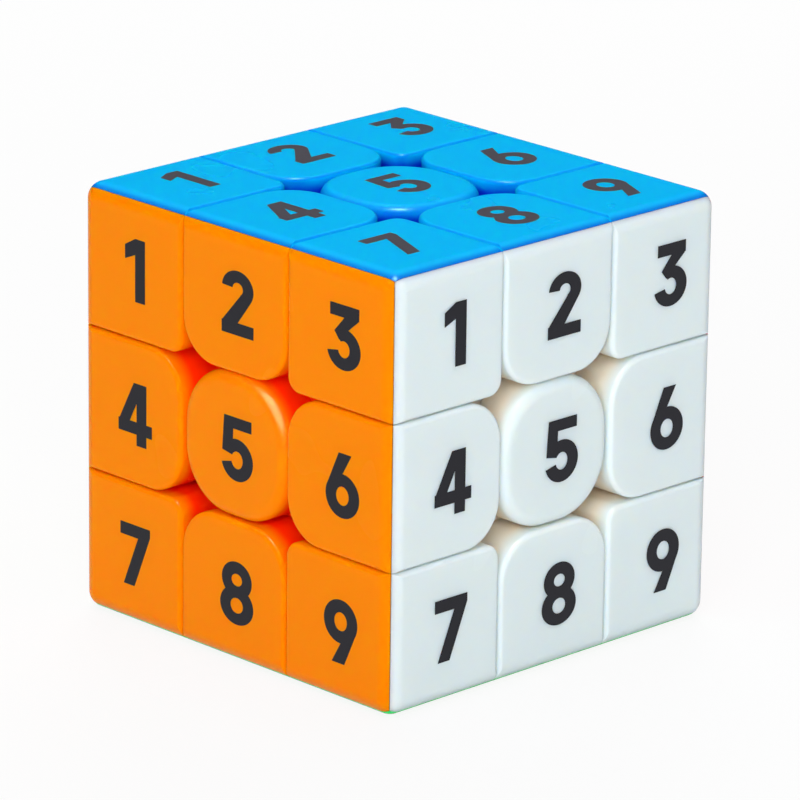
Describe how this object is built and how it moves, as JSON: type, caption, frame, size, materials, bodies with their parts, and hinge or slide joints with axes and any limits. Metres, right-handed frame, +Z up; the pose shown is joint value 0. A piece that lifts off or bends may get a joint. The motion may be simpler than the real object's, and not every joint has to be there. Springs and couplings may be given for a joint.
{
  "type": "sudoku cube",
  "caption": "Twisting puzzle cube in three layers with a sprung core, hooked edges and corners, and a coloured face of numbered tiles on each side.",
  "frame": {"origin": "centre of the core, which is the centre of the cube", "axes": "+Z up through the blue face, -Y out of the orange front face, +X out of the white right face"},
  "size_m": [0.056, 0.056, 0.056],
  "materials": {
    "orange_plastic": "smooth moulded plastic with a soft gloss",
    "white_plastic": "smooth moulded plastic with a soft gloss",
    "red_plastic": "smooth moulded plastic with a soft gloss",
    "yellow_plastic": "smooth moulded plastic with a soft gloss",
    "blue_plastic": "smooth moulded plastic with a soft gloss",
    "green_plastic": "smooth moulded plastic with a soft gloss",
    "inner_plastic": "matt moulded plastic in its natural colour",
    "steel": "plain zinc-plated steel"
  },
  "bodies": {
    "middle_layer": {"core": "inner_plastic", "centre_screws": "steel", "tension_springs": "steel", "spring_washers": "steel", "front_centre_base": "orange_plastic", "front_centre_cap": "orange_plastic", "right_centre_base": "white_plastic", "right_centre_cap": "white_plastic", "back_centre_base": "red_plastic", "back_centre_cap": "red_plastic", "left_centre_base": "yellow_plastic", "left_centre_cap": "yellow_plastic", "middle_edge_feet": "inner_plastic", "front_shell_left": "orange_plastic", "front_shell_right": "orange_plastic", "right_shell_left": "white_plastic", "right_shell_right": "white_plastic", "back_shell_left": "red_plastic", "back_shell_right": "red_plastic", "left_shell_left": "yellow_plastic", "left_shell_right": "yellow_plastic"},
    "top_layer": {"top_centre_base": "blue_plastic", "top_centre_cap": "blue_plastic", "top_edge_feet": "inner_plastic", "top_corner_feet": "inner_plastic", "top_edge_shells": "blue_plastic", "top_corner_shells": "blue_plastic", "front_shell_top_left": "orange_plastic", "front_shell_top": "orange_plastic", "front_shell_top_right": "orange_plastic", "right_shell_top_left": "white_plastic", "right_shell_top": "white_plastic", "right_shell_top_right": "white_plastic", "back_shell_top_left": "red_plastic", "back_shell_top": "red_plastic", "back_shell_top_right": "red_plastic", "left_shell_top_left": "yellow_plastic", "left_shell_top": "yellow_plastic", "left_shell_top_right": "yellow_plastic"},
    "bottom_layer": {"bottom_centre_base": "green_plastic", "bottom_centre_cap": "green_plastic", "bottom_edge_feet": "inner_plastic", "bottom_corner_feet": "inner_plastic", "bottom_edge_shells": "green_plastic", "bottom_corner_shells": "green_plastic", "front_shell_bottom_left": "orange_plastic", "front_shell_bottom": "orange_plastic", "front_shell_bottom_right": "orange_plastic", "right_shell_bottom_left": "white_plastic", "right_shell_bottom": "white_plastic", "right_shell_bottom_right": "white_plastic", "back_shell_bottom_left": "red_plastic", "back_shell_bottom": "red_plastic", "back_shell_bottom_right": "red_plastic", "left_shell_bottom_left": "yellow_plastic", "left_shell_bottom": "yellow_plastic", "left_shell_bottom_right": "yellow_plastic"}
  },
  "joints": [
    {"name": "top_layer_turn", "type": "hinge", "parent": "middle_layer", "child": "top_layer", "pos_m": [0, 0, 0.0187], "axis": [0, 0, 1], "continuous": true},
    {"name": "bottom_layer_turn", "type": "hinge", "parent": "middle_layer", "child": "bottom_layer", "pos_m": [0, 0, -0.0187], "axis": [0, 0, -1], "continuous": true}
  ]
}
